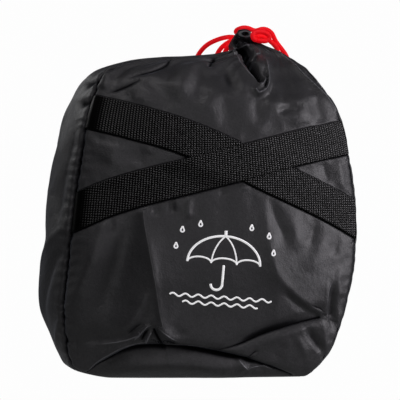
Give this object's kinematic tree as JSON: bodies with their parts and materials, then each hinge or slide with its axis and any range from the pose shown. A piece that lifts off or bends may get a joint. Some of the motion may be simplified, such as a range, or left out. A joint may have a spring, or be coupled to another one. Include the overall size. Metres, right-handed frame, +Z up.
{
  "type": "bicycle cover packed in its drawstring bag",
  "caption": "Stuffed upright drawstring bag holding a folded bicycle cover, with webbing crossed over its front and a knotted red cord at the gathered mouth.",
  "frame": {"origin": "middle of the flat patch on which the bag stands, at floor level", "axes": "-Y out of the front with the crossed webbing, +X to the right as the front is seen, +Z up towards the drawn mouth"},
  "size_m": [0.2333, 0.1227, 0.2629],
  "materials": {
    "bag_cloth": "black coated taffeta with a soft sheen and fine creases",
    "webbing": "matt black ribbed webbing",
    "cord": "bright red round braid"
  },
  "bodies": {
    "root": {"bag": "bag_cloth", "strap_under": "webbing", "strap_over": "webbing", "cord_right": "cord", "cord_left_loop": "cord", "cord_left_tail": "cord"}
  },
  "joints": []
}
